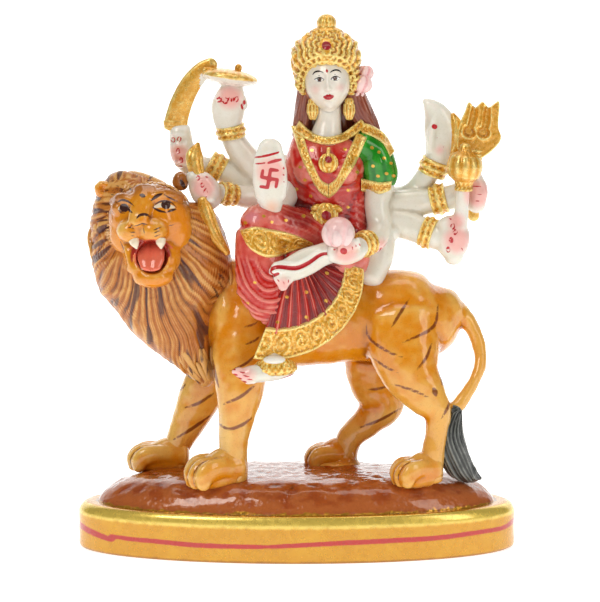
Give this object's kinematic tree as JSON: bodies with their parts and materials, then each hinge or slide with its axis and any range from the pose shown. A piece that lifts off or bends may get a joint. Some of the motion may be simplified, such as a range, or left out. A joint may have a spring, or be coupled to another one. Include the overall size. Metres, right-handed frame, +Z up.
{
  "type": "durga figure",
  "caption": "Hand-painted cast-resin figure of Durga seated side-saddle on a standing lion, on an oval plinth, for a shelf or home temple.",
  "frame": {"origin": "middle of the plinth's flat underside, on the surface it stands on", "axes": "+Z up, +X along the plinth towards the lion's tail, +Y to the back; the goddess faces -Y and the lion's head is at -X"},
  "size_m": [0.165, 0.0658, 0.2],
  "materials": {
    "painted_resin": "cast polyester resin, hand-painted in enamels under a gloss varnish"
  },
  "bodies": {
    "root": {"durga_on_lion": "painted_resin"}
  },
  "joints": []
}
